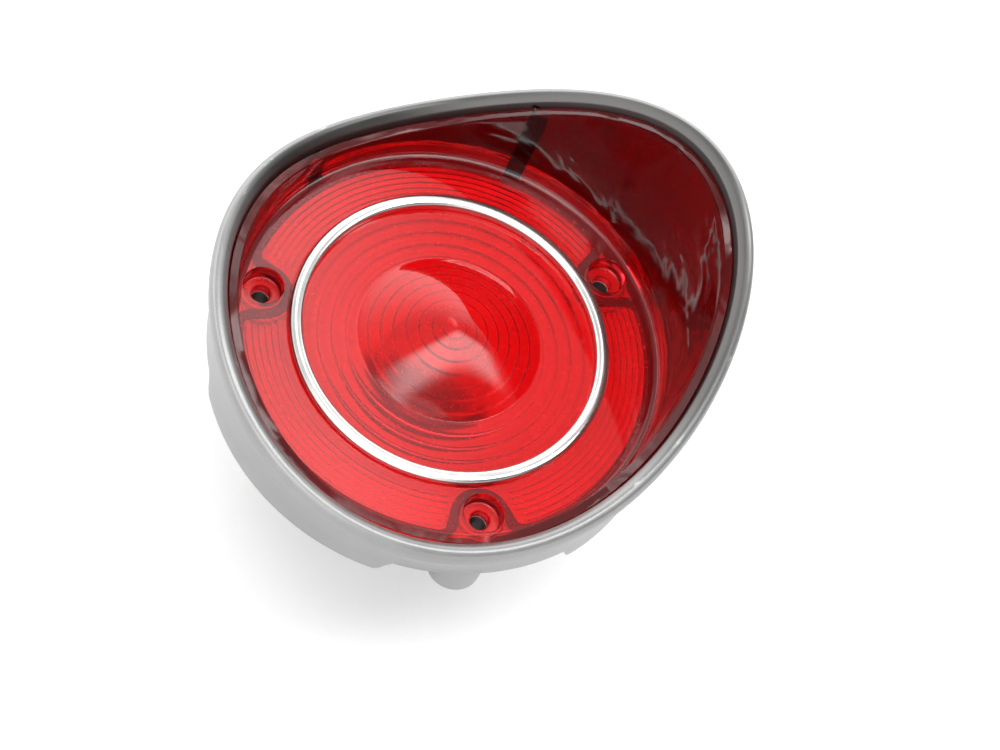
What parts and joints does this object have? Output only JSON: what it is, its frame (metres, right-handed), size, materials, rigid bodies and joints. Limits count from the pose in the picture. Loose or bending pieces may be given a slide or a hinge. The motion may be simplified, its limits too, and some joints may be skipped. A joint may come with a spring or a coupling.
{
  "type": "tail light",
  "caption": "Round bumper tail lamp: deep red lens in a silver die-cast shell with a swept rim, bright trim ring and twist-lock bulb socket behind.",
  "frame": {"origin": "on the lens axis, at the level of the stud ends that the lamp stands on", "axes": "+Z along the lens axis, out of the lens; -Y towards the single lower lens screw; +X towards the high side of the rim"},
  "size_m": [0.1281, 0.1258, 0.121],
  "materials": {
    "silver_paint": "satin silver paint on zinc die casting",
    "red_acrylic": "gloss transparent red moulded acrylic",
    "polished_trim": "polished bright metal",
    "black_rubber": "matt black",
    "stud_steel": "zinc plated steel",
    "black_phenolic": "black moulded plastic",
    "brown_phenolic": "brown fibre board",
    "tinned_brass": "tinned",
    "terminal_brass": "bare brass",
    "spring_steel": "bright spring wire",
    "bulb_brass": "bright lacquered brass",
    "black_glass": "black insulating glass",
    "solder": "dull solder",
    "clear_glass": "clear",
    "tungsten": "dark grey wire"
  },
  "bodies": {
    "lamp": {"housing": "silver_paint", "lens": "red_acrylic", "trim_ring": "polished_trim", "lens_gasket": "black_rubber", "stud_upper": "stud_steel", "stud_left": "stud_steel", "stud_lower": "stud_steel"},
    "socket": {"socket_body": "black_phenolic", "socket_seal": "black_rubber", "socket_sleeve": "tinned_brass", "socket_end_cap": "brown_phenolic", "terminal_stop": "terminal_brass", "terminal_tail": "terminal_brass", "contact_spring": "spring_steel"},
    "bulb": {"contact_carrier": "brown_phenolic", "contact_button_stop": "terminal_brass", "contact_button_tail": "terminal_brass", "bulb_base": "bulb_brass", "bulb_insulator": "black_glass", "bulb_contact_stop": "solder", "bulb_contact_tail": "solder", "bulb_glass": "clear_glass", "bulb_stem": "clear_glass", "filament_stop": "tungsten", "filament_tail": "tungsten"}
  },
  "joints": [
    {"name": "socket_twist", "type": "hinge", "parent": "lamp", "child": "socket", "pos_m": [0, 0, 0.0255], "axis": [0, 0, 1], "range_deg": [0, 40]},
    {"name": "bulb_push", "type": "slide", "parent": "socket", "child": "bulb", "axis": [0, 0, -1], "range_m": [0, 0.0025], "stiffness_N_per_m": 1200, "springref_m": -0.004, "deforming": ["contact_spring"]}
  ]
}
